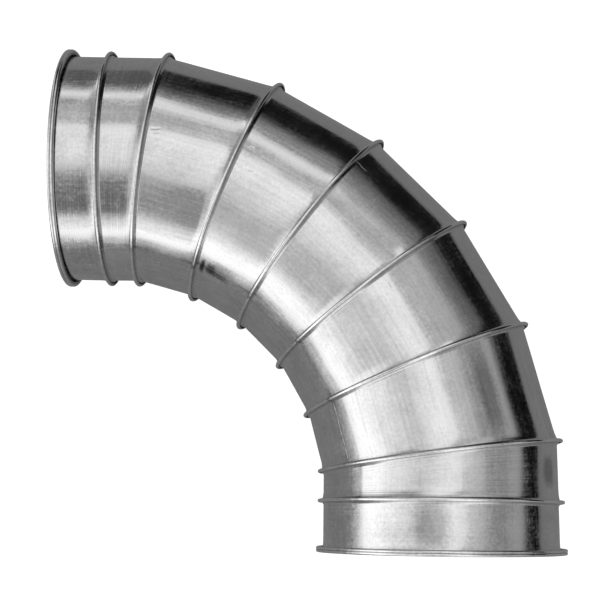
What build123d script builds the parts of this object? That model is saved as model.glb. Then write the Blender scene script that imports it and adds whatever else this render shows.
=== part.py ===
from build123d import *
import math
import os

# Segmented round duct elbow of sheet steel: two collars with rolled lips, two end gores and five
# full gores, joined edge to edge by standing lock seams. Millimetres.
# The frame has its origin at the centre of the outlet mouth. The outlet faces -Y, the inlet faces
# -X, and the bend lies in the XY plane, so +Z is up when the elbow lies on its side.

# driving dimensions
duct_bore_radius = 100.0   # inside of the round duct
sheet = 0.8                # thickness of the sheet steel
bend_radius = 295.0        # from the centre of the bend to the duct's axis
bend_angle = 90.0          # between the two mouths
full_gores = 5             # whole segments between the two half segments at the ends
outlet_collar_length = 43.5  # mouth face to the middle of the first seam
inlet_collar_length = 38.5
seam_height = 5.2          # top of a lock seam above the duct's wall
seam_clearance = 0.4       # between a flange's edge and the fold over it
return_gap = 1.8           # from the wall up to the free edge of the fold
crest_round = 1.1          # outside radius on the top of the fold
bend_inside_radius = 0.8   # tightest inside bend of the sheet
lip_height = 6.3           # outside of the rolled lip above the duct's wall
lip_width = 4.4            # mouth face to the back of the rolled lip
lip_corner_radius = 1.4    # middle of the sheet round the lip's corners
lip_edge_gap = 1.2         # from the wall up to the free edge of the lip

# what follows from them
outer_radius = duct_bore_radius + sheet
bend_center = Vector(-bend_radius, outlet_collar_length, 0)
half_gore_angle = bend_angle / (full_gores + 1) / 2
stretch = 1 / math.cos(math.radians(half_gore_angle))   # a mitred section is this much longer
flange_height = seam_height - sheet - seam_clearance
wall_bend_radius = bend_inside_radius + sheet / 2       # middle of the sheet
wall_middle_radius = duct_bore_radius + sheet / 2
fold_radius = sheet / 2 + 0.9 * min(seam_clearance, sheet / 2)   # clears the flange's corners


def radial(angle):
    """Unit vector from the centre of the bend, 0 degrees at the outlet and 90 at the inlet."""
    return Vector(math.cos(math.radians(angle)), math.sin(math.radians(angle)), 0)


def downstream(angle):
    """Unit vector along the duct, from the inlet towards the outlet."""
    return Vector(math.sin(math.radians(angle)), -math.cos(math.radians(angle)), 0)


def duct_plane(angle, mitred=False):
    """Plane across the duct: centred on its axis, local X away from the bend's centre."""
    reach = bend_radius * (stretch if mitred else 1)
    return Plane(bend_center + radial(angle) * reach, x_dir=radial(angle), z_dir=downstream(angle))


def ring_edges(part, seam, offset, radius):
    """The closed edges beside a seam, at this offset from its plane and this far from the axis."""
    found = ShapeList()
    for edge in part.edges():
        points = [seam.to_local_coords(edge @ place) for place in (0.1, 0.4, 0.7)]
        across = max(abs(point.Y) for point in points)
        on_plane = all(abs(point.Z - offset) < sheet / 10 for point in points)
        at_radius = all(
            min(abs(math.hypot(point.X / scale, point.Y) - radius) for scale in (1, stretch)) < sheet / 3
            for point in points
        )
        if on_plane and at_radius and across > radius / 4:
            found.append(edge)
    return found


def oval(height, seam_stretch):
    """Section of a seam plane through the duct's outside, grown by a height above its wall."""
    Ellipse(outer_radius * seam_stretch + height, outer_radius + height)


def gore(inlet_side, outlet_side, axis_angle):
    """One segment, given as (angle, mitred) of its two seams and the angle where its axis touches
    the bend. Its inlet edge is a plain flange, and its outlet edge folds over the next flange."""
    flange_seam, fold_seam = duct_plane(*inlet_side), duct_plane(*outlet_side)
    flange_stretch = stretch if inlet_side[1] else 1
    fold_stretch = stretch if outlet_side[1] else 1
    with BuildPart() as segment:
        # the wall, cut off at the faces where the sheets meet
        with BuildSketch(duct_plane(axis_angle)):
            Circle(outer_radius)
        extrude(amount=bend_radius * math.radians(half_gore_angle) * 2, both=True)
        split(bisect_by=flange_seam.offset(-sheet / 2), keep=Keep.TOP)
        split(bisect_by=fold_seam.offset(-sheet / 2), keep=Keep.BOTTOM)
        # the turned-out flange and the three-layer fold, each in its own seam plane
        with BuildSketch(flange_seam.offset(-sheet / 2)):
            oval(flange_height, flange_stretch)
        extrude(amount=sheet)
        with BuildSketch(fold_seam.offset(-1.5 * sheet)):
            oval(seam_height, fold_stretch)
        extrude(amount=3 * sheet)
        # the bore, the slot for the next flange and the way past the next wall
        with BuildSketch(duct_plane(axis_angle)):
            Circle(duct_bore_radius)
        extrude(amount=bend_radius, both=True, mode=Mode.SUBTRACT)
        with BuildSketch(fold_seam.offset(-sheet / 2)):
            oval(seam_height - sheet, fold_stretch)
        extrude(amount=sheet, mode=Mode.SUBTRACT)
        with BuildSketch(fold_seam.offset(sheet / 2)):
            oval(return_gap, fold_stretch)
        extrude(amount=2 * sheet, mode=Mode.SUBTRACT)
        # the sheet's bends
        fillet(ring_edges(segment, flange_seam, -sheet / 2, duct_bore_radius), bend_inside_radius + sheet)
        fillet(ring_edges(segment, fold_seam, -sheet / 2, duct_bore_radius), bend_inside_radius + sheet)
        fillet(ring_edges(segment, flange_seam, sheet / 2, outer_radius), bend_inside_radius)
        fillet(ring_edges(segment, fold_seam, -1.5 * sheet, outer_radius), bend_inside_radius)
        crest = [ring_edges(segment, fold_seam, side, outer_radius + seam_height)
                 for side in (-1.5 * sheet, 1.5 * sheet)]
        fillet(crest[0] + crest[1], crest_round)
    return segment


def collar(mouth, inward, length, folds):
    """A straight spigot turned from one sheet section: rolled lip, wall, and the seam's edge."""
    lip_top = outer_radius + lip_height - sheet / 2
    lip = [
        (lip_width - sheet / 2, outer_radius + lip_edge_gap),
        (lip_width - sheet / 2, lip_top),
        (sheet / 2, lip_top),
        (sheet / 2, wall_middle_radius),
    ]
    if folds:
        fold_top = outer_radius + seam_height - sheet / 2
        edge = [
            (length - sheet, wall_middle_radius),
            (length - sheet, fold_top),
            (length + sheet, fold_top),
            (length + sheet, outer_radius + return_gap),
        ]
    else:
        edge = [(length, wall_middle_radius), (length, outer_radius + flange_height)]
    radii = [lip_corner_radius] * 2 + [wall_bend_radius] * 2 + [fold_radius] * (len(edge) - 2)
    with BuildPart() as spigot:
        with BuildSketch(Plane(mouth, x_dir=inward, z_dir=(0, 0, 1))):
            with BuildLine():
                FilletPolyline(*lip, *edge, radius=radii)
            trace(line_width=sheet)
        revolve(axis=Axis(mouth, inward))
    return spigot


os.makedirs("parts", exist_ok=True)

outlet_mouth = Vector(0, 0, 0)
inlet_mouth = bend_center + Vector(-inlet_collar_length, bend_radius, 0)
seam_angles = [half_gore_angle * (2 * place + 1) for place in range(full_gores + 1)]

collar_inlet = collar(inlet_mouth, (1, 0, 0), inlet_collar_length, folds=True)
collar_inlet.part.label = "collar_inlet"
export_step(collar_inlet.part, "parts/collar_inlet.step")

end_gore_inlet = gore((bend_angle, False), (seam_angles[-1], True), bend_angle)
end_gore_inlet.part.label = "end_gore_inlet"
export_step(end_gore_inlet.part, "parts/end_gore_inlet.step")

for number in range(1, full_gores + 1):
    inlet_edge, outlet_edge = seam_angles[-number], seam_angles[-number - 1]
    full_gore = gore((inlet_edge, True), (outlet_edge, True), (inlet_edge + outlet_edge) / 2)
    full_gore.part.label = f"gore_{number}"
    export_step(full_gore.part, f"parts/gore_{number}.step")

end_gore_outlet = gore((seam_angles[0], True), (0, False), 0)
end_gore_outlet.part.label = "end_gore_outlet"
export_step(end_gore_outlet.part, "parts/end_gore_outlet.step")

collar_outlet = collar(outlet_mouth, (0, 1, 0), outlet_collar_length, folds=False)
collar_outlet.part.label = "collar_outlet"
export_step(collar_outlet.part, "parts/collar_outlet.step")
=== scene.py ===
import math

import bpy
from mathutils import Matrix, Vector


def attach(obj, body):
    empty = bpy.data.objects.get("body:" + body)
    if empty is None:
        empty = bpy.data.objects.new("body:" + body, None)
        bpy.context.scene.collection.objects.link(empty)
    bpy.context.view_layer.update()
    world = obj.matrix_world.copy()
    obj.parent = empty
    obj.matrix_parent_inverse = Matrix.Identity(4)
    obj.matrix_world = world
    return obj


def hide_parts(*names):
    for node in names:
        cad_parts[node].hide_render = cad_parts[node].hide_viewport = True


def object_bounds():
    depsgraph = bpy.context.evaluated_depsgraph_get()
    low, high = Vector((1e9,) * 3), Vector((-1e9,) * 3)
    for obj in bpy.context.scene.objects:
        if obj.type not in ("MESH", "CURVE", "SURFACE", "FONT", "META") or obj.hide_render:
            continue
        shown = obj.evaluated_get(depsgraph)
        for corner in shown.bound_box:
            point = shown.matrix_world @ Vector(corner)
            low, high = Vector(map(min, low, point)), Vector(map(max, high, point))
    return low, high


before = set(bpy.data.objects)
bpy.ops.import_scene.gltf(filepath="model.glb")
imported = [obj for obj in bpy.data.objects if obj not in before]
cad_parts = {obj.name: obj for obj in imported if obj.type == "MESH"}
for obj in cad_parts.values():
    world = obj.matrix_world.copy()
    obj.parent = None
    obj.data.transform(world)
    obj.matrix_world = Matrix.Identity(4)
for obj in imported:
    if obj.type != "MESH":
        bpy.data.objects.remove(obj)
cad_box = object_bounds()

# Segmented round duct elbow of bright sheet steel. Metres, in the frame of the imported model: the
# outlet mouth's centre is the origin, the outlet faces -Y, the inlet faces -X, and +Z is up.

# sizes of the sheet metal, the same as in the solids
MM = 0.001
BORE_RADIUS = 100.0 * MM
SHEET = 0.8 * MM
BEND_RADIUS = 295.0 * MM
OUTLET_COLLAR = 43.5 * MM
INLET_COLLAR = 38.5 * MM
HALF_GORE = math.radians(7.5)
SEAM_HEIGHT = 5.2 * MM
SEAM_CLEARANCE = 0.4 * MM
RETURN_GAP = 2.6 * MM
SLOPE_RISE = 2.5 * MM           # the wall slopes up to its flange
SLOPE_LENGTH = 3.3 * MM
SLOPE_BEND = 1.3 * MM           # where the wall turns up into the slope
FLANGE_BEND = 0.7 * MM          # where the slope turns out into the flange
FOLD_BEND = 1.3 * MM            # where the wall turns out into the fold
LAYER_GAP = 0.35 * MM           # between the three layers of a seam
FOLD_ROUND = 1.1 * MM
BELL = 1.1 * MM                 # how far the wall bells out before its fold
LIP_HEIGHT = 6.3 * MM
LIP_WIDTH = 5.0 * MM
LIP_ROUND = 1.1 * MM
LIP_EDGE_GAP = 2.0 * MM
LIP_GROOVE = 0.8 * MM           # the groove round the middle of the rolled lip
WAVINESS = 0.9 * MM             # how far the wall waves in and out
BEAD_WIDTH = 1.2 * MM           # of the weld along each segment
BEAD_RISE = 0.05 * MM           # over the wall, and higher on the last gore
LAST_BEAD_RISE = 0.25 * MM
BEAD_RIPPLE = 1.0 * MM
BEAD_END_GAP = 4.6 * MM         # from the ends of a bead to the seams

BEND_CENTER = Vector((-BEND_RADIUS, OUTLET_COLLAR, 0))
HALF_LENGTH = BEND_RADIUS * math.tan(HALF_GORE)

# the camera, fitted to the photograph's outlines
CAMERA_PLACE = Vector((-139.19, 25.56, 969.33)) * MM
CAMERA_RIGHT = Vector((0.99969, 0.01087, 0.02232))
CAMERA_AHEAD = Vector((0.01980, 0.19330, -0.98094))
FOCAL_PIXELS = 1103.1          # the focal length, as pixels of the photograph
PHOTO_WIDTH = 608
SENSOR_WIDTH = 36.0


# ---- node trees ---------------------------------------------------------------------------------

class Field:
    """A number in a node tree, so that a sum of sockets is written as a sum."""

    def __init__(self, tree, socket):
        self.tree, self.socket = tree, socket

    def join(self, operation, *others):
        outputs = add_node(self.tree, "ShaderNodeMath", dict(enumerate((self,) + others)),
                           operation=operation)
        return Field(self.tree, outputs[0])

    def __add__(self, other):
        return self.join("ADD", other)

    def __sub__(self, other):
        return self.join("SUBTRACT", other)

    def __mul__(self, other):
        return self.join("MULTIPLY", other)

    def __truediv__(self, other):
        return self.join("DIVIDE", other)

    def __neg__(self):
        return self * -1.0

    __radd__, __rmul__ = __add__, __mul__


def feed(tree, socket, value):
    """Links a value's socket to an input, or sets the input to the value."""
    value = value.socket if isinstance(value, Field) else value
    if isinstance(value, bpy.types.NodeSocket):
        tree.links.new(value, socket)
    else:
        socket.default_value = value


def add_node(tree, kind, feeds=(), **settings):
    """Adds a node, gives it its settings and feeds its inputs. Returns its outputs."""
    node = tree.nodes.new(kind)
    for name, value in settings.items():
        setattr(node, name, value)
    for key, value in dict(feeds).items():
        feed(tree, node.inputs[key], value)
    return node.outputs


def numbers(*labels):
    """Number sockets with these names."""
    return [(label, "Float") for label in labels]


def new_group(name, kind, inputs, outputs):
    """A node group with named sockets. Returns its tree, its inputs by name and its output node."""
    tree = bpy.data.node_groups.new(name, kind)
    for direction, sockets in (("INPUT", inputs), ("OUTPUT", outputs)):
        for label, socket_kind in sockets:
            tree.interface.new_socket(label, in_out=direction,
                                      socket_type="NodeSocket" + socket_kind)
    given = tree.nodes.new("NodeGroupInput").outputs
    fields = {label: Field(tree, given[label]) if socket_kind == "Float" else given[label]
              for label, socket_kind in inputs}
    return tree, fields, tree.nodes.new("NodeGroupOutput")


def ramp(tree, value, from_low, from_high, to_low, to_high, smooth=False):
    """A value carried from one range to another, and held at its ends."""
    outputs = add_node(tree, "ShaderNodeMapRange",
                       {0: value, 1: from_low, 2: from_high, 3: to_low, 4: to_high},
                       interpolation_type="SMOOTHSTEP" if smooth else "LINEAR")
    return Field(tree, outputs[0])


def vector(tree, x=0.0, y=0.0, z=0.0):
    return add_node(tree, "ShaderNodeCombineXYZ", {0: x, 1: y, 2: z})[0]


def parts(tree, socket):
    """The three numbers of a vector."""
    return [Field(tree, part) for part in add_node(tree, "ShaderNodeSeparateXYZ", {0: socket})]


def choose(tree, index, values, data_type):
    """One of several values, picked by an index."""
    node = tree.nodes.new("GeometryNodeIndexSwitch")
    node.data_type = data_type
    while len(node.index_switch_items) < len(values):
        node.index_switch_items.new()
    tree.links.new(index, node.inputs[0])
    for socket, value in zip(list(node.inputs)[1:], values):
        feed(tree, socket, value)
    return node.outputs[0]


# ---- sheet metal by rule ------------------------------------------------------------------------

AROUND = 224                   # faces round the duct
WALL_STEP = 1.7 * MM           # rows along the wall
ROUND_STEPS = 6                # faces round each bend of the sheet
WAVE_SCALES = (2.8, 9.0)       # of the wall's slow waves, round the duct and along it
WAVE_START = 3.37
WALL_ZONE = (1.0 * MM, 4.0 * MM)    # heights over the wall across which the waves fade out
BELL_ZONE = (1.2 * MM, 9.5 * MM)    # distances from the fold across which the bell fades out
SAME_PLACE = 0.01 * MM         # points closer than this become one

PLACE_INPUTS = numbers("Bend Angle", "Bend Radius") + [("Bend Center", "Vector")]
END_INPUTS = numbers("Inlet Half", "Outlet Half", "Inlet Mitre", "Outlet Mitre", "Joint Angle")


def mitred(tree, along, across, given):
    """How far along the duct a point lies once both ends are cut to their mitres."""
    clear = 5.0 * MM           # the seams themselves stay flat in their planes
    share = ramp(tree, along, -given["Inlet Half"] + clear, given["Outlet Half"] - clear, 0.0, 1.0)
    tilt = share * (given["Outlet Mitre"] + given["Inlet Mitre"]) - given["Inlet Mitre"]
    return along + across * tilt


def placed(tree, geometry, given):
    """Turns a piece made along local Z, with local X away from the bend's centre, to its place."""
    angle = given["Bend Angle"]
    radial = vector(tree, angle.join("COSINE"), angle.join("SINE"))
    reach = add_node(tree, "ShaderNodeVectorMath", {0: radial, "Scale": given["Bend Radius"]},
                     operation="SCALE")[0]
    place = add_node(tree, "ShaderNodeVectorMath", {0: reach, 1: given["Bend Center"]})[0]
    turn = add_node(tree, "FunctionNodeEulerToRotation",
                    {0: vector(tree, math.pi / 2, 0.0, angle)})[0]
    return add_node(tree, "GeometryNodeTransform",
                    {"Geometry": geometry, "Translation": place, "Rotation": turn})[0]


def stored(tree, geometry, name, value, data_type="FLOAT", domain="POINT"):
    """The geometry with a value kept on it under a name."""
    return add_node(tree, "GeometryNodeStoreNamedAttribute",
                    {"Geometry": geometry, "Name": name, "Value": value},
                    data_type=data_type, domain=domain)[0]


def end_tree(tree, geometry, given, output):
    """Ends a piece's tree with real geometry in its finish."""
    whole = add_node(tree, "GeometryNodeRealizeInstances", {0: geometry})[0]
    finished = add_node(tree, "GeometryNodeSetMaterial",
                        {"Geometry": whole, "Material": given["Finish"]})[0]
    tree.links.new(finished, output.inputs[0])


def rolling_group():
    """Rolls a sheet section (X its radius, Y along the duct) round the duct's axis, cuts both ends
    to their mitres and sets the segment in its place round the bend."""
    inputs = [("Section", "Geometry"), ("Around", "Int")] \
        + numbers("Duct Radius", "Waviness", "Bell", "Seed") + END_INPUTS + PLACE_INPUTS
    tree, given, output = new_group("Roll sheet round the duct", "GeometryNodeTree", inputs,
                                    [("Geometry", "Geometry")])
    rows = add_node(tree, "GeometryNodeAttributeDomainSize", {0: given["Section"]},
                    component="CURVE")["Point Count"]
    columns = Field(tree, given["Around"]) + 1.0
    grid = add_node(tree, "GeometryNodeMeshGrid",
                    {"Vertices X": rows, "Vertices Y": columns})["Mesh"]
    index = Field(tree, add_node(tree, "GeometryNodeInputIndex")[0])
    row = (index / columns).join("FLOOR")
    column = index - row * columns

    def sampled(value, data_type):
        return add_node(tree, "GeometryNodeSampleIndex",
                        {"Geometry": given["Section"], "Value": value, "Index": row},
                        data_type=data_type)[0]

    point = sampled(add_node(tree, "GeometryNodeInputPosition")[0], "FLOAT_VECTOR")
    length = Field(tree, sampled(add_node(tree, "GeometryNodeSplineParameter")["Length"], "FLOAT"))
    # the painted shade, dirt and highlight drawn on the section
    shade_dirt_and_sheen = Field(tree, sampled(add_node(tree, "GeometryNodeInputNamedAttribute", {"Name": "shade_dirt_and_sheen"},
                                        data_type="FLOAT")["Attribute"], "FLOAT"))
    radius, along, _ = parts(tree, point)
    turned = column / Field(tree, given["Around"]) * (2 * math.pi)
    angle = turned + given["Joint Angle"]
    # the wall is never quite round: it waves a little, and bells out just beside the folds
    round_scale, along_scale = WAVE_SCALES
    on_circle = vector(tree, angle.join("COSINE") * round_scale, angle.join("SINE") * round_scale,
                       along * along_scale + WAVE_START)
    wave = Field(tree, add_node(tree, "ShaderNodeTexNoise",
                                {"Vector": on_circle, "W": given["Seed"], "Scale": 1.0,
                                 "Detail": 2.0, "Roughness": 0.42}, noise_dimensions="4D")[0])
    near_wall = ramp(tree, radius, *(given["Duct Radius"] + rise for rise in WALL_ZONE), 1.0, 0.0)
    to_fold = given["Outlet Half"] - along
    to_end = (given["Inlet Half"] + along).join("MINIMUM", to_fold)
    bell = ramp(tree, to_fold, *BELL_ZONE, 1.0, 0.0).join("POWER", 2.0) * given["Bell"]
    radius = radius + ((wave - 0.5) * given["Waviness"] + bell) * near_wall
    across = radius * angle.join("COSINE")
    position = vector(tree, across, radius * angle.join("SINE"), mitred(tree, along, across, given))
    flat = add_node(tree, "GeometryNodeFieldOnDomain",
                    {"Value": vector(tree, turned * given["Duct Radius"], length)},
                    data_type="FLOAT_VECTOR", domain="POINT")[0]
    marked = stored(tree, grid, "sheet", flat, "FLOAT2", "CORNER")
    # kept on the mesh: the distance to a seam, the sheet's seed, and its painted shade, dirt and
    # highlight
    for name, value in (("to_seam", to_end), ("sheet_seed", given["Seed"]), ("sheet_shade_dirt_and_sheen", shade_dirt_and_sheen)):
        marked = stored(tree, marked, name, value)
    rolled = add_node(tree, "GeometryNodeSetPosition",
                      {"Geometry": marked, "Position": position})[0]
    closed = add_node(tree, "GeometryNodeMergeByDistance",
                      {"Geometry": rolled, "Distance": SAME_PLACE})[0]
    tree.links.new(placed(tree, closed, given), output.inputs[0])
    return tree


# Painted shade and dirt, and a painted highlight: -1 is dark in a crease, gap or groove, where
# shade falls and dirt sits, and 1 is a highlight painted on a crest. Each pair holds the heights
# over the middle of the wall, or the distances in from the sheet's end, across which it comes or
# goes.
CREASE_HEIGHTS = (0.9 * MM, 2.0 * MM)          # in the crease beside a flange
CREASE_REACH = (3.4 * MM, 4.0 * MM)
FOLD_EDGE_HEIGHTS = (3.2 * MM, 4.0 * MM)       # at a fold's free edge
FOLD_FREE_SIDE = (-0.8 * MM, -0.3 * MM)
FOLD_CREST_HEIGHTS = (4.6 * MM, 5.2 * MM)
LIP_BACK = (1.2 * MM, 0.6 * MM)                # from the back of the lip
LIP_EDGE_HEIGHTS = (4.0 * MM, 5.2 * MM)
LIP_WALL_HEIGHTS = (0.6 * MM, 1.0 * MM)
GROOVE_SIDES = (0.35 * MM, 0.7 * MM)           # from the middle of the lip
GROOVE_HEIGHTS = (4.0 * MM, 5.0 * MM)
RIDGE_DEPTH = 0.5 * MM                         # from the top of the lip
OUTLET_SHARE = 0.4                             # where in the wall the outlet end's painted shade, dirt and highlight take over


def flange_shade_and_dirt(tree, size, rise, inside):
    """Painted shade and dirt in the crease that a flange's slope leaves beside the fold over it."""
    return ramp(tree, rise, *CREASE_HEIGHTS, 0.0, -1.0) \
        * ramp(tree, inside, *CREASE_REACH, 1.0, 0.0)


def fold_shade_dirt_and_sheen(tree, size, rise, inside):
    """Painted shade and dirt at the fold's free edge, and a painted highlight on its crest."""
    free_edge = ramp(tree, rise, *FOLD_EDGE_HEIGHTS, -1.0, 0.0) \
        * ramp(tree, inside, *FOLD_FREE_SIDE, 1.0, 0.0)
    return free_edge + ramp(tree, rise, *FOLD_CREST_HEIGHTS, 0.0, 1.0)


def lip_shade_dirt_and_sheen(tree, size, rise, inside):
    """Painted shade and dirt at the lip's free edge and in its groove, and a painted highlight on
    its ridges.
    """
    back = ramp(tree, inside, *(size["Lip Width"] - reach for reach in LIP_BACK), 0.0, 1.0)
    free_edge = back * ramp(tree, rise, *LIP_EDGE_HEIGHTS, -1.0, 0.0) \
        * ramp(tree, rise, *LIP_WALL_HEIGHTS, 0.0, 1.0)
    off_middle = (inside - size["Lip Width"] * 0.5).join("ABSOLUTE")
    groove = ramp(tree, off_middle, *GROOVE_SIDES, -1.0, 0.0) \
        * ramp(tree, rise, *GROOVE_HEIGHTS, 0.0, 1.0)
    ridge = ramp(tree, rise, size["Lip Height"] - RIDGE_DEPTH, size["Lip Height"], 0.0, 1.0)
    return free_edge + groove + ridge


SHEET_INPUTS = numbers("Duct Radius", "Sheet", "Seam Height", "Seam Clearance", "Return Gap",
                       "Layer Gap", "Slope Rise", "Slope Length", "Slope Bend", "Flange Bend",
                       "Fold Bend", "Fold Round", "Lip Height", "Lip Width", "Lip Round",
                       "Lip Edge Gap", "Lip Groove")
GROOVE_SIDE_SHARE = 0.9        # shares of the groove's depth: half its width, and its bends
GROOVE_BEND_SHARE = 0.4


def flange_edge(size, place):
    """The sheet's middle where the wall slopes up and its edge is turned straight out, from the
    edge to the wall."""
    wall = size["Duct Radius"]
    top = wall + size["Sheet"] * 0.5 + size["Seam Height"] - size["Sheet"] - size["Seam Clearance"]
    points = [(top, place), (wall + size["Slope Rise"], place),
              (wall, place + size["Slope Length"])]
    return points, [0.0, size["Flange Bend"], size["Slope Bend"]]


def fold_edge(size, place):
    """The sheet's middle where its edge is turned out and folded over the next sheet's flange."""
    top = size["Duct Radius"] + size["Seam Height"]
    free = size["Duct Radius"] + size["Sheet"] * 0.5 + size["Return Gap"]
    reach = size["Sheet"] + size["Layer Gap"]
    near, far = place - reach, place + reach
    points = [(size["Duct Radius"], near), (top, near), (top, far), (free, far)]
    return points, [size["Fold Bend"], size["Fold Round"], size["Fold Round"], 0.0]


def lip_edge(size, mouth, inward):
    """The sheet's middle round the rolled lip, from the wall to its free edge."""
    top = size["Duct Radius"] + size["Lip Height"]
    free = size["Duct Radius"] + size["Sheet"] * 0.5 + size["Lip Edge Gap"]
    front = mouth + size["Sheet"] * (0.5 * inward)
    back = mouth + (size["Lip Width"] - size["Sheet"] * 0.5) * inward
    middle, side = (front + back) * 0.5, size["Lip Groove"] * (GROOVE_SIDE_SHARE * inward)
    points = [(size["Duct Radius"], front), (top, front), (top, middle - side),
              (top - size["Lip Groove"], middle), (top, middle + side), (top, back), (free, back)]
    soft = size["Lip Groove"] * GROOVE_BEND_SHARE
    return points, [size["Fold Bend"], size["Lip Round"], soft, soft, soft, size["Lip Round"], 0.0]


def sheet_tree(name, rolling, edges, inlet_shade_dirt_and_sheen, outlet_shade_dirt_and_sheen):
    """A segment of duct: its section drawn edge to edge, then rolled round the axis. `edges` gives
    the corners and the bend radii of the section, from the sizes and the places of the two ends,
    and the two shading functions say where its ends get painted shade and dirt or a painted
    highlight."""
    inputs = SHEET_INPUTS + [("Around", "Int")] + numbers("Wall Step", "Waviness", "Bell", "Seed") \
        + END_INPUTS + PLACE_INPUTS + [("Finish", "Material")]
    tree, given, output = new_group(name, "GeometryNodeTree", inputs, [("Geometry", "Geometry")])
    inlet_half, outlet_half = given["Inlet Half"], given["Outlet Half"]
    corners, bends = edges(given, -inlet_half, outlet_half)
    index = add_node(tree, "GeometryNodeInputIndex")[0]
    drawn = choose(tree, index, [vector(tree, x, y) for x, y in corners], "VECTOR")
    points = add_node(tree, "GeometryNodePoints", {"Count": len(corners)})[0]
    drawn_points = add_node(tree, "GeometryNodeSetPosition",
                            {"Geometry": points, "Position": drawn})[0]
    line = add_node(tree, "GeometryNodePointsToCurves", {0: drawn_points})[0]
    bent = add_node(tree, "GeometryNodeFilletCurve",
                    {"Curve": line, "Count": ROUND_STEPS,
                     "Radius": choose(tree, index, bends, "FLOAT")}, mode="POLY")[0]
    # only the wall is long enough to take more rows
    after = add_node(tree, "GeometryNodeOffsetPointInCurve", {"Offset": 1})["Point Index"]
    here = add_node(tree, "GeometryNodeInputPosition")[0]
    there = add_node(tree, "GeometryNodeFieldAtIndex", {"Value": here, "Index": after},
                     data_type="FLOAT_VECTOR", domain="POINT")[0]
    span = Field(tree, add_node(tree, "ShaderNodeVectorMath", {0: here, 1: there},
                                operation="DISTANCE")["Value"])
    rows = add_node(tree, "GeometryNodeSubdivideCurve",
                    {"Curve": bent, "Cuts": (span / given["Wall Step"]).join("FLOOR")})[0]
    radius, along, _ = parts(tree, here)
    rise = radius - given["Duct Radius"]
    # painted shade and dirt in creases and gaps, and a painted highlight on crests
    shade_dirt_and_sheen = inlet_shade_dirt_and_sheen(tree, given, rise, along + inlet_half) \
        + outlet_shade_dirt_and_sheen(tree, given, rise, outlet_half - along) \
        * ramp(tree, along, -inlet_half * OUTLET_SHARE, outlet_half * OUTLET_SHARE, 0.0, 1.0)
    labels = ["Around", "Duct Radius", "Waviness", "Bell", "Seed"] \
        + [label for label, _ in END_INPUTS + PLACE_INPUTS]
    rolled = add_node(tree, "GeometryNodeGroup",
                      {label: given[label] for label in labels}
                      | {"Section": stored(tree, rows, "shade_dirt_and_sheen", shade_dirt_and_sheen)}, node_tree=rolling)[0]
    end_tree(tree, rolled, given, output)
    return tree


def gore_edges(size, inlet_end, outlet_end):
    start, start_bends = flange_edge(size, inlet_end)
    end, end_bends = fold_edge(size, outlet_end)
    return start + end, start_bends + end_bends


def inlet_collar_edges(size, inlet_end, outlet_end):
    start, start_bends = lip_edge(size, inlet_end, 1.0)
    end, end_bends = fold_edge(size, outlet_end)
    return start[::-1] + end, start_bends[::-1] + end_bends


def outlet_collar_edges(size, inlet_end, outlet_end):
    start, start_bends = flange_edge(size, inlet_end)
    end, end_bends = lip_edge(size, outlet_end, -1.0)
    return start + end, start_bends + end_bends


STEPS_PER_RIPPLE = 5.0
BEAD_AROUND = 10               # faces round the bead
WANDER_SCALE = 60.0            # how often the bead leaves its line, and how far, in radians
WANDER_ANGLE = 0.006
RIPPLE_SWELL = 0.14            # how much thicker a ripple is, and a place where the bead wanders
WANDER_SWELL = 0.5


def bead_tree():
    """The weld bead of a segment's lengthwise joint: a low rippled bead from seam to seam."""
    inputs = numbers("Duct Radius", "Sheet", "Bead Width", "Bead Rise", "Ripple", "End Gap",
                     "Seed") + END_INPUTS + PLACE_INPUTS + [("Finish", "Material")]
    tree, given, output = new_group("Lengthwise weld", "GeometryNodeTree", inputs,
                                    [("Geometry", "Geometry")])
    length = given["Inlet Half"] + given["Outlet Half"] - given["End Gap"] * 2.0
    steps = (length / given["Ripple"] * STEPS_PER_RIPPLE).join("FLOOR")
    line = add_node(tree, "GeometryNodeCurvePrimitiveLine",
                    {"Start": vector(tree), "End": vector(tree, z=length)})[0]
    fine = add_node(tree, "GeometryNodeResampleCurve", {"Curve": line, "Count": steps})[0]
    at = Field(tree, add_node(tree, "GeometryNodeSplineParameter")["Length"])
    along = at + given["End Gap"] - given["Inlet Half"]
    wander = Field(tree, add_node(tree, "ShaderNodeTexNoise",
                                  {"W": at * WANDER_SCALE + given["Seed"], "Scale": 1.0,
                                   "Detail": 1.0}, noise_dimensions="1D")[0]) - 0.5
    radius = given["Duct Radius"] + given["Sheet"] * 0.5 + given["Bead Rise"] \
        - given["Bead Width"] * 0.5
    angle = given["Joint Angle"] + wander * WANDER_ANGLE
    across = radius * angle.join("COSINE")
    position = vector(tree, across, radius * angle.join("SINE"), mitred(tree, along, across, given))
    laid = add_node(tree, "GeometryNodeSetPosition", {"Geometry": fine, "Position": position})[0]
    ripple = (at / given["Ripple"] * (2 * math.pi)).join("SINE")
    swell = 1.0 + ripple * RIPPLE_SWELL + wander * WANDER_SWELL
    sized = add_node(tree, "GeometryNodeSetCurveRadius", {"Curve": laid, "Radius": swell})[0]
    ring = add_node(tree, "GeometryNodeCurvePrimitiveCircle",
                    {"Resolution": BEAD_AROUND, "Radius": given["Bead Width"] * 0.5})[0]
    bead = add_node(tree, "GeometryNodeCurveToMesh",
                    {"Curve": sized, "Profile Curve": ring, "Fill Caps": True})[0]
    end_tree(tree, placed(tree, bead, given), given, output)
    return tree


SHARP_ANGLE = math.radians(40)      # edges sharper than this aren't shaded smooth


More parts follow.
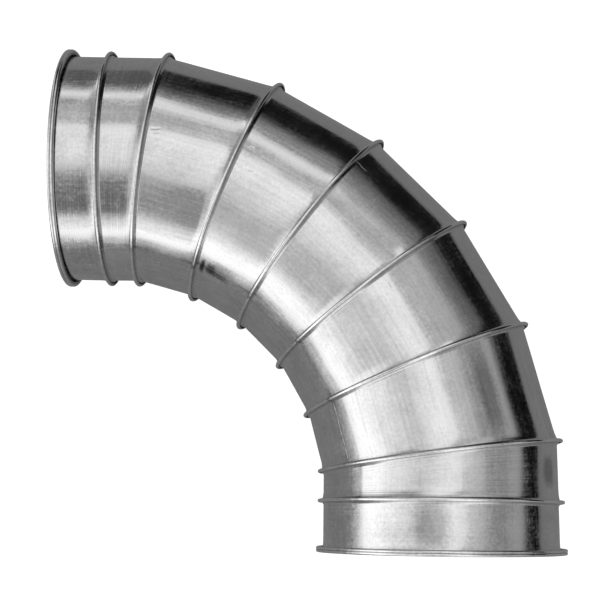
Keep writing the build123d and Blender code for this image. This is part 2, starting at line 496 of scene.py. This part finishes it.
def made_piece(name, tree, values, sheet=None):
    """Runs a tree on an empty mesh and keeps the result as a plain mesh object."""
    piece = bpy.data.objects.new(name, bpy.data.meshes.new(name))
    bpy.context.scene.collection.objects.link(piece)
    shaping = piece.modifiers.new("Shape", "NODES")
    shaping.node_group = tree
    for item in tree.interface.items_tree:
        if item.in_out == "INPUT" and item.name in values:
            shaping[item.identifier] = values[item.name]
    if sheet:
        thickness = piece.modifiers.new("Sheet", "SOLIDIFY")
        thickness.thickness, thickness.offset, thickness.use_even_offset = sheet, 0.0, True
    shown = piece.evaluated_get(bpy.context.evaluated_depsgraph_get())
    mesh = bpy.data.meshes.new_from_object(shown)
    piece.modifiers.clear()
    piece.data = mesh
    mesh.name = name
    mesh.shade_smooth()
    mesh.set_sharp_from_angle(angle=SHARP_ANGLE)
    return piece


# ---- finishes -----------------------------------------------------------------------------------

# scales of the metal's textures: noises in space, and lines as (round the duct, along it)
GRAIN_SCALE, CLOUD_SCALE, PATCH_SCALE, WARP_SCALE, SCORCH_SCALE = 380.0, 42.0, 18.0, 30.0, 260.0
STREAK_SCALES, BRUSH_SCALES, ROLLER_SCALES = (430.0, 11.0), (14.0, 900.0), (2.5, 540.0)
PATCH_RANGE = (-0.08, 0.12)         # noise across which brushed patches come in
LEAST_BRUSHING = 0.35
ROLLER_REACH = (1.0 * MM, 9.0 * MM)     # from a seam, across which the rollers' lines fade
SCORCH_REACH = (0.4 * MM, 3.4 * MM)     # from a joint, across which its dark colour fades
SCORCH_ENDS = (5.0 * MM, 22.0 * MM)     # from a seam, across which it gets paler
SCORCH_LEFT = 0.35                      # how dark it still is after that
# how dark the weld scorches, how dark the painted shade and dirt in creases, how bright the painted
# highlight on crests
SCORCH_DARK, CREASE_SHADE_AND_DIRT, CREST_SHEEN = 0.6, 0.80, 0.22
LEAST_ROUGHNESS = 0.04


def brushed_group():
    """Rolled sheet: a fine grain, streaks along the duct, brush lines round it, soft clouding, the
    lines that the seaming rollers leave, painted shade and dirt in the creases, a painted highlight
    on the crests and a dark weld joint. It reads the sheet's own flat map, X round the duct from
    the joint and Y along it, in metres."""
    tree, given, output = new_group(
        "Rolled sheet", "ShaderNodeTree",
        [("Sheet Map", "Vector"), ("Object Place", "Vector")]
        + numbers("Sheet Seed", "To Seam", "Shade Dirt And Sheen", "Grain", "Streaks", "Brush Lines", "Clouding",
                  "Roller Lines", "Joint", "Roughness"),
        numbers("Shade", "Roughness", "Height"))

    def noise(place, scale, detail):
        outputs = add_node(tree, "ShaderNodeTexNoise", {"Vector": place, "Scale": scale,
                                                        "Detail": detail, "Roughness": 0.62})
        return Field(tree, outputs[0]) - 0.5

    round_duct, along_duct, _ = parts(tree, given["Sheet Map"])

    def stretched(scales, detail):
        """A noise drawn out into lines, another one on each sheet."""
        x, y = scales
        place = vector(tree, round_duct * x, along_duct * y, given["Sheet Seed"] * 3.7 + x * 0.13)
        return noise(place, 1.0, detail)

    grain = noise(given["Object Place"], GRAIN_SCALE, 3.0)
    cloud = noise(given["Object Place"], CLOUD_SCALE, 3.0)
    warp = noise(given["Object Place"], WARP_SCALE, 1.0)
    patches = ramp(tree, noise(given["Object Place"], PATCH_SCALE, 2.0), *PATCH_RANGE, 0.0, 1.0,
                   smooth=True)
    streak = stretched(STREAK_SCALES, 2.0)
    brush = stretched(BRUSH_SCALES, 3.0) * (LEAST_BRUSHING + patches)
    rolled = stretched(ROLLER_SCALES, 1.0) * ramp(tree, given["To Seam"], *ROLLER_REACH, 1.0, 0.0) \
        * given["Roller Lines"]
    girth = 2 * math.pi * (BORE_RADIUS + SHEET / 2)
    from_joint = round_duct.join("MINIMUM", round_duct * -1.0 + girth) \
        + noise(given["Object Place"], SCORCH_SCALE, 3.0) * (3.0 * MM)
    scorch = ramp(tree, from_joint, *SCORCH_REACH, 1.0, 0.0, smooth=True) * given["Joint"] \
        * ramp(tree, given["To Seam"] + cloud * (20.0 * MM), *SCORCH_ENDS, 1.0, SCORCH_LEFT)
    # painted shade and dirt in creases and gaps, and a painted highlight on crests
    crease = given["Shade Dirt And Sheen"].join("MAXIMUM", -1.0).join("MINIMUM", 0.0)
    crest = given["Shade Dirt And Sheen"].join("MAXIMUM", 0.0)
    shade = (1.0 + grain * given["Grain"] + streak * given["Streaks"] + brush * given["Brush Lines"]
             + cloud * given["Clouding"]) * (1.0 + scorch * -SCORCH_DARK) \
        * (1.0 + crease * CREASE_SHADE_AND_DIRT) * (1.0 + crest * CREST_SHEEN)
    # the weights say how much each texture roughens the metal, and how far it raises it
    rough = given["Roughness"] * (1.0 + grain * 1.8 + streak * 1.2 + brush * 1.2 + cloud * 1.4) \
        + scorch * 0.1
    height = grain * 0.10 + streak * given["Streaks"] * 2.2 + brush * given["Brush Lines"] * 1.1 \
        + rolled + warp * 8.0
    for label, field in (("Shade", shade), ("Roughness", rough.join("MAXIMUM", LEAST_ROUGHNESS)),
                         ("Height", height)):
        tree.links.new(field.socket, output.inputs[label])
    return tree


TEAR_SCALE = 400.0                  # of a mark's ragged edge


def mark_group():
    """A small dent, scratch or stain: 1 in its middle, 0 outside it."""
    tree, given, output = new_group(
        "Mark", "ShaderNodeTree",
        [(label, "Vector") for label in ("Object Place", "Center", "Turn", "Size")]
        + numbers("Full Share", "Raggedness", "Squareness"), numbers("Mask"))
    local = add_node(tree, "ShaderNodeVectorMath", {0: given["Object Place"], 1: given["Center"]},
                     operation="SUBTRACT")[0]
    turned = add_node(tree, "ShaderNodeMapping", {"Vector": local, "Rotation": given["Turn"]})[0]
    scaled = add_node(tree, "ShaderNodeVectorMath", {0: turned, 1: given["Size"]},
                      operation="DIVIDE")[0]
    reach = 0.0
    for side in parts(tree, scaled):
        reach = side.join("ABSOLUTE").join("POWER", given["Squareness"]) + reach
    reach = reach.join("POWER", Field(tree, 1.0) / given["Squareness"])
    torn = Field(tree, add_node(tree, "ShaderNodeTexNoise",
                                {"Vector": given["Object Place"], "Scale": TEAR_SCALE,
                                 "Detail": 2.0})[0]) - 0.5
    mask = ramp(tree, reach + torn * given["Raggedness"], given["Full Share"], 1.0, 1.0, 0.0,
                smooth=True)
    tree.links.new(mask.socket, output.inputs[0])
    return tree


# where the sheets are marked, in mm: place, turn about Z in degrees, half length, half width, the
# depth of the mark, and how dark it is
GORE_MARKS = [
    # dents and scratches
    ((-245.9, 342.6, 100.6), 4, 5.2, 1.7, 0.16, 0.0),
    ((-244.9, 338.0, 100.8), 4, 3.0, 1.0, -0.08, 0.0),
    ((-166.3, 328.0, 99.6), -20, 4.2, 1.4, 0.14, 0.0),
    ((-166.9, 308.6, 100.8), -10, 4.6, 1.8, 0.12, 0.0),
    ((-72.8, 316.6, 84.3), -42, 5.6, 0.5, 0.10, 0.0),
    ((-76.5, 321.0, 82.5), -42, 4.4, 0.4, 0.08, 0.0),
    ((-196.0, 300.0, 100.6), 30, 2.2, 1.2, 0.07, 0.0),
    ((-52.0, 214.0, 98.0), -60, 3.6, 1.3, 0.08, 0.0),
    # burnt places at the end of a weld
    ((-207.4, 237.2, 57.9), -28, 2.8, 6.0, 0.0, 0.85),
    ((-200.2, 233.8, 59.0), -30, 6.0, 4.8, 0.0, 0.66),
    ((-193.9, 228.4, 56.0), -31, 12.0, 2.2, 0.0, 0.55),
    ((-190.0, 231.5, 61.5), -31, 16.0, 5.0, 0.0, 0.34),
]
# darker streaks and patches; the long streak on the last gore is painted shade, a darker band of
# reflection laid into its colour
LAST_GORE_SHADE_MARKS = [((26.3, 129.6, 92.6), -75, 46.0, 11.0, 0.0, 0.42)]
END_MARKS = [((81.5, 68.0, 59.2), 90, 17.0, 11.0, 0.0, 0.50)]
COLLAR_MARKS = [((-20.0, 24.0, 98.6), 90, 26.0, 18.0, 0.0, 0.42)]
MARK_HALF_HEIGHT = 14.0
MARK_FULL_SHARE = 0.35              # how much of a mark is full, before it fades
DENT_EDGE, STAIN_EDGE = (0.0, 2.0), (0.5, 3.0)      # raggedness and squareness
SHEET_COLOR = (0.62, 0.62, 0.62)
TEXTURE_HEIGHT = 0.02               # of the textures' bumps against the dents', which are in mm


def new_material(name, values):
    """A material with these values on its shader. Returns it, its tree and its shader."""
    material = bpy.data.materials.new(name)
    material.use_nodes = True
    shader = material.node_tree.nodes["Principled BSDF"]
    for label, value in values.items():
        shader.inputs[label].default_value = value
    return material, material.node_tree, shader


def sheet_finish(name, brushed, mark, roughness, textures, marks):
    """Bright metal with its grain running round the duct."""
    material, tree, shader = new_material(name, {"Metallic": 1.0, "Anisotropic": 0.35})
    flat = add_node(tree, "ShaderNodeUVMap", uv_map="sheet")[0]
    tangent = add_node(tree, "ShaderNodeTangent", direction_type="UV_MAP", uv_map="sheet")[0]
    place = add_node(tree, "ShaderNodeTexCoord")["Object"]
    # the sheet's painted shade, dirt and highlight come in as an attribute of the mesh
    to_seam, seed, shade_dirt_and_sheen = (add_node(tree, "ShaderNodeAttribute", attribute_name=kept)["Fac"]
                           for kept in ("to_seam", "sheet_seed", "sheet_shade_dirt_and_sheen"))
    grain = add_node(tree, "ShaderNodeGroup",
                     textures | {"Roughness": roughness, "Sheet Map": flat, "Object Place": place,
                                 "To Seam": to_seam, "Sheet Seed": seed, "Shade Dirt And Sheen": shade_dirt_and_sheen},
                     node_tree=brushed)
    shade = Field(tree, grain["Shade"])
    height = Field(tree, grain["Height"]) * TEXTURE_HEIGHT
    for center, turn, long, wide, depth, dark in marks:
        raggedness, squareness = STAIN_EDGE if dark else DENT_EDGE
        size = Vector((long, wide, MARK_HALF_HEIGHT)) * MM
        mask = Field(tree, add_node(
            tree, "ShaderNodeGroup",
            {"Object Place": place, "Center": Vector(center) * MM, "Size": size,
             "Turn": (0, 0, math.radians(-turn)), "Full Share": MARK_FULL_SHARE,
             "Raggedness": raggedness, "Squareness": squareness}, node_tree=mark)[0])
        height, shade = height + mask * -depth, shade * (1.0 + mask * -dark)
    base = add_node(tree, "ShaderNodeVectorMath", {0: SHEET_COLOR, "Scale": shade},
                    operation="SCALE")[0]
    bump = add_node(tree, "ShaderNodeBump", {"Height": height, "Strength": 1.0, "Distance": MM})[0]
    for value, label in ((base, "Base Color"), (grain["Roughness"], "Roughness"),
                         (bump, "Normal"), (tangent, "Tangent")):
        tree.links.new(value, shader.inputs[label])
    return material


def bead_finish():
    """The weld beads of the lengthwise joints: duller metal, darker here and there."""
    material, tree, shader = new_material("weld_bead", {"Metallic": 1.0})
    place = add_node(tree, "ShaderNodeTexCoord")["Object"]
    spots = add_node(tree, "ShaderNodeTexNoise",
                     {"Vector": place, "Scale": 320.0, "Detail": 3.0})[0]
    burnt, clean, spread = (0.26, 0.26, 0.27, 1), (0.48, 0.48, 0.48, 1), (0.35, 0.65)
    base = add_node(tree, "ShaderNodeMix",
                    {0: ramp(tree, spots, *spread, 0.0, 1.0), 6: burnt, 7: clean},
                    data_type="RGBA")[2]
    tree.links.new(base, shader.inputs["Base Color"])
    tree.links.new(ramp(tree, spots, *spread, 0.42, 0.24).socket, shader.inputs["Roughness"])
    return material


# ---- the elbow ----------------------------------------------------------------------------------

rolled_sheet, mark = brushed_group(), mark_group()
gore_textures = {"Grain": 0.50, "Streaks": 0.42, "Brush Lines": 0.10, "Clouding": 0.42,
                 "Roller Lines": 11.0, "Joint": 0.9}
last_gore_textures = gore_textures | {"Joint": 0.45}
end_textures = {"Grain": 0.44, "Streaks": 0.18, "Brush Lines": 0.60, "Clouding": 0.40,
                "Roller Lines": 11.0, "Joint": 0.6}
collar_textures = {"Grain": 0.64, "Streaks": 0.20, "Brush Lines": 0.50, "Clouding": 0.60,
                   "Roller Lines": 9.0, "Joint": 0.6}
gore_finish, last_gore_finish, end_finish, collar_finish = (
    sheet_finish(name, rolled_sheet, mark, roughness, textures, marks)
    for name, roughness, textures, marks in (
        ("gore_steel", 0.14, gore_textures, GORE_MARKS),
        ("last_gore_steel", 0.14, last_gore_textures, LAST_GORE_SHADE_MARKS),
        ("end_steel", 0.16, end_textures, END_MARKS),
        ("collar_steel", 0.17, collar_textures, COLLAR_MARKS)))
bead_steel = bead_finish()

rolling = rolling_group()
gore_tree = sheet_tree("Gore of the elbow", rolling, gore_edges, flange_shade_and_dirt, fold_shade_dirt_and_sheen)
inlet_tree = sheet_tree("Inlet collar", rolling, inlet_collar_edges, lip_shade_dirt_and_sheen, fold_shade_dirt_and_sheen)
outlet_tree = sheet_tree("Outlet collar", rolling, outlet_collar_edges, flange_shade_and_dirt, lip_shade_dirt_and_sheen)

sheet_sizes = {
    "Duct Radius": BORE_RADIUS + SHEET / 2, "Sheet": SHEET, "Seam Height": SEAM_HEIGHT,
    "Seam Clearance": SEAM_CLEARANCE, "Return Gap": RETURN_GAP, "Layer Gap": LAYER_GAP,
    "Slope Rise": SLOPE_RISE, "Slope Length": SLOPE_LENGTH, "Slope Bend": SLOPE_BEND,
    "Flange Bend": FLANGE_BEND, "Fold Bend": FOLD_BEND, "Fold Round": FOLD_ROUND,
    "Lip Height": LIP_HEIGHT, "Lip Width": LIP_WIDTH, "Lip Round": LIP_ROUND,
    "Lip Edge Gap": LIP_EDGE_GAP, "Lip Groove": LIP_GROOVE, "Around": AROUND,
    "Wall Step": WALL_STEP, "Bend Radius": BEND_RADIUS, "Bend Center": BEND_CENTER,
    "Waviness": WAVINESS, "Bell": BELL, "Bead Width": BEAD_WIDTH, "Ripple": BEAD_RIPPLE,
    "End Gap": BEAD_END_GAP,
}
MITRE = math.tan(HALF_GORE)
GORE_STEP = 15                      # degrees round the bend from one gore to the next
GORE_JOINTS = (147, 145.5, 143.5, 144, 144.5)
SEED_STEP = 1.7

# node: tree, finish, bend angle, lengths to its inlet and outlet ends, their mitres, and where its
# lengthwise joint lies round the duct (angles in degrees)
SEGMENTS = {
    "collar_inlet": (inlet_tree, collar_finish, 90, INLET_COLLAR, 0.0, 0.0, 0.0, 212),
    "end_gore_inlet": (gore_tree, end_finish, 90, 0.0, HALF_LENGTH, 0.0, MITRE, 147),
    "end_gore_outlet": (gore_tree, end_finish, 0, HALF_LENGTH, 0.0, MITRE, 0.0, 137),
    "collar_outlet": (outlet_tree, collar_finish, 0, 0.0, OUTLET_COLLAR, 0.0, 0.0, 208),
}
for number, joint in enumerate(GORE_JOINTS, start=1):
    finish = last_gore_finish if number == len(GORE_JOINTS) else gore_finish
    SEGMENTS[f"gore_{number}"] = (gore_tree, finish, 90 - GORE_STEP * number,
                                  HALF_LENGTH, HALF_LENGTH, MITRE, MITRE, joint)

welding = bead_tree()
for seed, (node, segment) in enumerate(SEGMENTS.items()):
    tree, finish, angle, inlet_half, outlet_half, inlet_mitre, outlet_mitre, joint = segment
    values = sheet_sizes | {
        "Bend Angle": math.radians(angle), "Inlet Half": inlet_half, "Outlet Half": outlet_half,
        "Inlet Mitre": inlet_mitre, "Outlet Mitre": outlet_mitre,
        "Joint Angle": math.radians(joint), "Seed": SEED_STEP * seed, "Finish": finish,
        "Bead Rise": LAST_BEAD_RISE if finish == last_gore_finish else BEAD_RISE,
    }
    piece = made_piece(f"{node}_sheet", tree, values, sheet=SHEET)
    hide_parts(node)
    bead = made_piece(f"{node}_weld", welding, values | {"Finish": bead_steel})
    for part in (piece, bead):
        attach(part, "root")


# ---- floor, light and camera --------------------------------------------------------------------

FLOOR_EDGE, FLOOR_SIDE = 0.74, 3.0      # from the origin to the near edge and to the others
FLOOR_TURN = math.radians(52)
FLOOR_CLEARANCE = 0.3 * MM
GLOW_MIDDLE = (0.15, 0.55)              # the floor glows more, the further from here
GLOW_DISTANCES, GLOW_STRENGTHS = (1.0, 2.5), (0.02, 0.42)
GLOW_TO_CAMERA = 0.93


def floor():
    """A plain table top under the elbow. It runs far out on three sides and ends near the duct on
    the far right, where the metal sees a dark room past its edge."""
    edge, side = FLOOR_EDGE, FLOOR_SIDE
    low = cad_box[0][2] - FLOOR_CLEARANCE
    turn = Matrix.Rotation(FLOOR_TURN, 3, "Z")
    corners = [turn @ Vector((x, y, low)) for x, y in
               ((-side, -side), (edge, -side), (edge, side), (-side, side))]
    mesh = bpy.data.meshes.new("floor")
    mesh.from_pydata(corners, [], [(0, 1, 2, 3)])
    material, tree, shader = new_material("floor_paper", {
        "Base Color": (0.30, 0.30, 0.30, 1), "Roughness": 0.9, "Specular IOR Level": 0.1,
        "Emission Color": (1, 1, 1, 1)})
    # white to the camera; to the metal a grey card under the duct, with painted light glowing on it
    # more the further out
    path = add_node(tree, "ShaderNodeLightPath")
    place = add_node(tree, "ShaderNodeTexCoord")["Object"]
    off_elbow = add_node(tree, "ShaderNodeVectorMath", {0: place, 1: (*GLOW_MIDDLE, low)},
                         operation="DISTANCE")["Value"]
    far_glow = ramp(tree, off_elbow, *GLOW_DISTANCES, *GLOW_STRENGTHS, smooth=True)
    glow = Field(tree, path["Is Camera Ray"]) * GLOW_TO_CAMERA \
        + (Field(tree, path["Is Glossy Ray"]) + Field(tree, path["Is Transmission Ray"])) * far_glow
    tree.links.new(glow.socket, shader.inputs["Emission Strength"])
    mesh.materials.append(material)
    ground = bpy.data.objects.new("floor", mesh)
    bpy.context.scene.collection.objects.link(ground)


def studio():
    """The room round the table, by direction alone, so every side of the duct is lit the same
    way. It has a soft ceiling with a bright part, a long window with grey curtains on the near
    left, and a long lamp over a dark doorway on the far right."""
    world = bpy.data.worlds.new("studio")
    bpy.context.scene.world = world
    world.use_nodes = True
    tree = world.node_tree
    direction = add_node(tree, "ShaderNodeTexCoord")["Generated"]
    x, y, height = parts(tree, direction)
    level = (x * x + y * y).join("SQRT").join("MAXIMUM", 0.001)

    def facing(azimuth, inner, outer):
        """1 towards a bearing, 0 away from it, with the edge between two angles off it."""
        bearing = math.radians(azimuth)
        toward = (x * math.cos(bearing) + y * math.sin(bearing)) / level
        edges = (math.cos(math.radians(angle)) for angle in (outer, inner))
        return ramp(tree, toward, *edges, 0.0, 1.0, smooth=True)

    def above(low, high):
        """0 below one height above the horizon, 1 above another, in degrees."""
        edges = (math.sin(math.radians(angle)) for angle in (low, high))
        return ramp(tree, height, *edges, 0.0, 1.0, smooth=True)

    def between(low, high, fading, gone):
        return above(low, high) * (1.0 + above(fading, gone) * -1.0)

    def by_height(stops):
        """A shade by height above the horizon, from (degrees, shade) stops."""
        node = tree.nodes.new("ShaderNodeValToRGB")
        tree.links.new(ramp(tree, height, -1.0, 1.0, 0.0, 1.0).socket, node.inputs[0])
        while len(node.color_ramp.elements) < len(stops):
            node.color_ramp.elements.new(0.5)
        for element, (degrees, shade) in zip(node.color_ramp.elements, stops):
            element.position = (math.sin(math.radians(degrees)) + 1) / 2
            element.color = (shade, shade, shade, 1)
        return Field(tree, node.outputs[0])

    def hung(room, shade, mask):
        """The room with something of another shade in front of it."""
        return room + (shade + room * -1.0) * mask

    room = by_height([(-90, 0.2), (-12, 0.2), (0, 0.45), (14, 0.48), (22, 0.46), (33, 0.37),
                      (44, 0.34), (51, 0.42), (58, 0.68), (66, 0.76), (76, 0.85), (90, 0.95)])
    window = by_height([(-90, 0.2), (-12, 0.3), (-2, 0.6), (3, 1.6), (20, 1.6), (32, 1.3),
                        (48, 1.1), (62, 0.85), (72, 0.92), (86, 1.0)])
    room = hung(room, window, facing(-132, 52, 84))
    room = hung(room, 1.15, facing(-98, 12, 28) * between(8, 17, 28, 36))
    room = hung(room, 0.63, facing(75, 36, 52) * above(32, 46))
    # a long lamp on the far side, and the bright part of the ceiling
    off_lamp = (x * -0.668 + y * -0.423 + height * 0.625).join("ABSOLUTE")
    room = hung(room, 1.15, ramp(tree, off_lamp, 0.03, 0.15, 1.0, 0.0, smooth=True)
                * facing(92, 24, 38))
    room = hung(room, 2.0, facing(99, 3, 10) * between(24, 26, 26.5, 28.5))
    overhead = height.join("MAXIMUM", 0.05)
    across, back = (x * 0.9 + y * 0.44) / overhead, y / overhead
    room = hung(room, 1.23, ramp(tree, across, 0.20, 0.31, 1.0, 0.0, smooth=True)
                * ramp(tree, across, -0.36, 0.06, 0.0, 1.0, smooth=True)
                * ramp(tree, back, 0.50, 0.62, 1.0, 0.0, smooth=True))
    # curtains by the window, then the doorway, darkest low down: shade, bearings and heights
    for shade, bearings, heights in (
            (0.68, (-128, 20, 38), (16, 50, 62, 72)), (0.40, (-108, 14, 22), (17, 38, 63, 74)),
            (0.24, (-102, 6, 12), (20, 38, 58, 75)), (0.22, (2, 8, 22), (-4, 2, 9, 18)),
            (0.17, (46, 12, 22), (-25, -20, 22, 40)), (0.13, (80, 12, 26), (-25, -20, 16, 32)),
            (0.14, (98, 10, 18), (-25, -20, 8, 26)), (0.006, (40, 44, 52), (-25, -20, 7, 18)),
            (0.010, (60, 20, 30), (-25, -20, 7, 22))):
        room = hung(room, shade, facing(*bearings) * between(*heights))
    path = add_node(tree, "ShaderNodeLightPath")
    plain = Field(tree, path["Is Camera Ray"]) + Field(tree, path["Is Transmission Ray"])
    shown = add_node(tree, "ShaderNodeMix", {0: plain, 2: room, 3: 1.0}, data_type="FLOAT")[0]
    background = tree.nodes["Background"]
    tree.links.new(shown, background.inputs["Color"])


def camera():
    """The camera where the photograph was taken, with its focal length."""
    lens = bpy.data.cameras.new("camera")
    lens.sensor_width = SENSOR_WIDTH
    lens.lens = FOCAL_PIXELS / PHOTO_WIDTH * SENSOR_WIDTH
    eye = bpy.data.objects.new("camera", lens)
    bpy.context.scene.collection.objects.link(eye)
    ahead = CAMERA_AHEAD.normalized()
    right = (CAMERA_RIGHT - CAMERA_RIGHT.dot(ahead) * ahead).normalized()
    up = right.cross(ahead)
    turn = Matrix((right, up, -ahead)).transposed()
    eye.matrix_world = Matrix.Translation(CAMERA_PLACE) @ turn.to_4x4()
    bpy.context.scene.camera = eye


floor()
studio()
camera()
bpy.context.scene.view_settings.view_transform = "Standard"
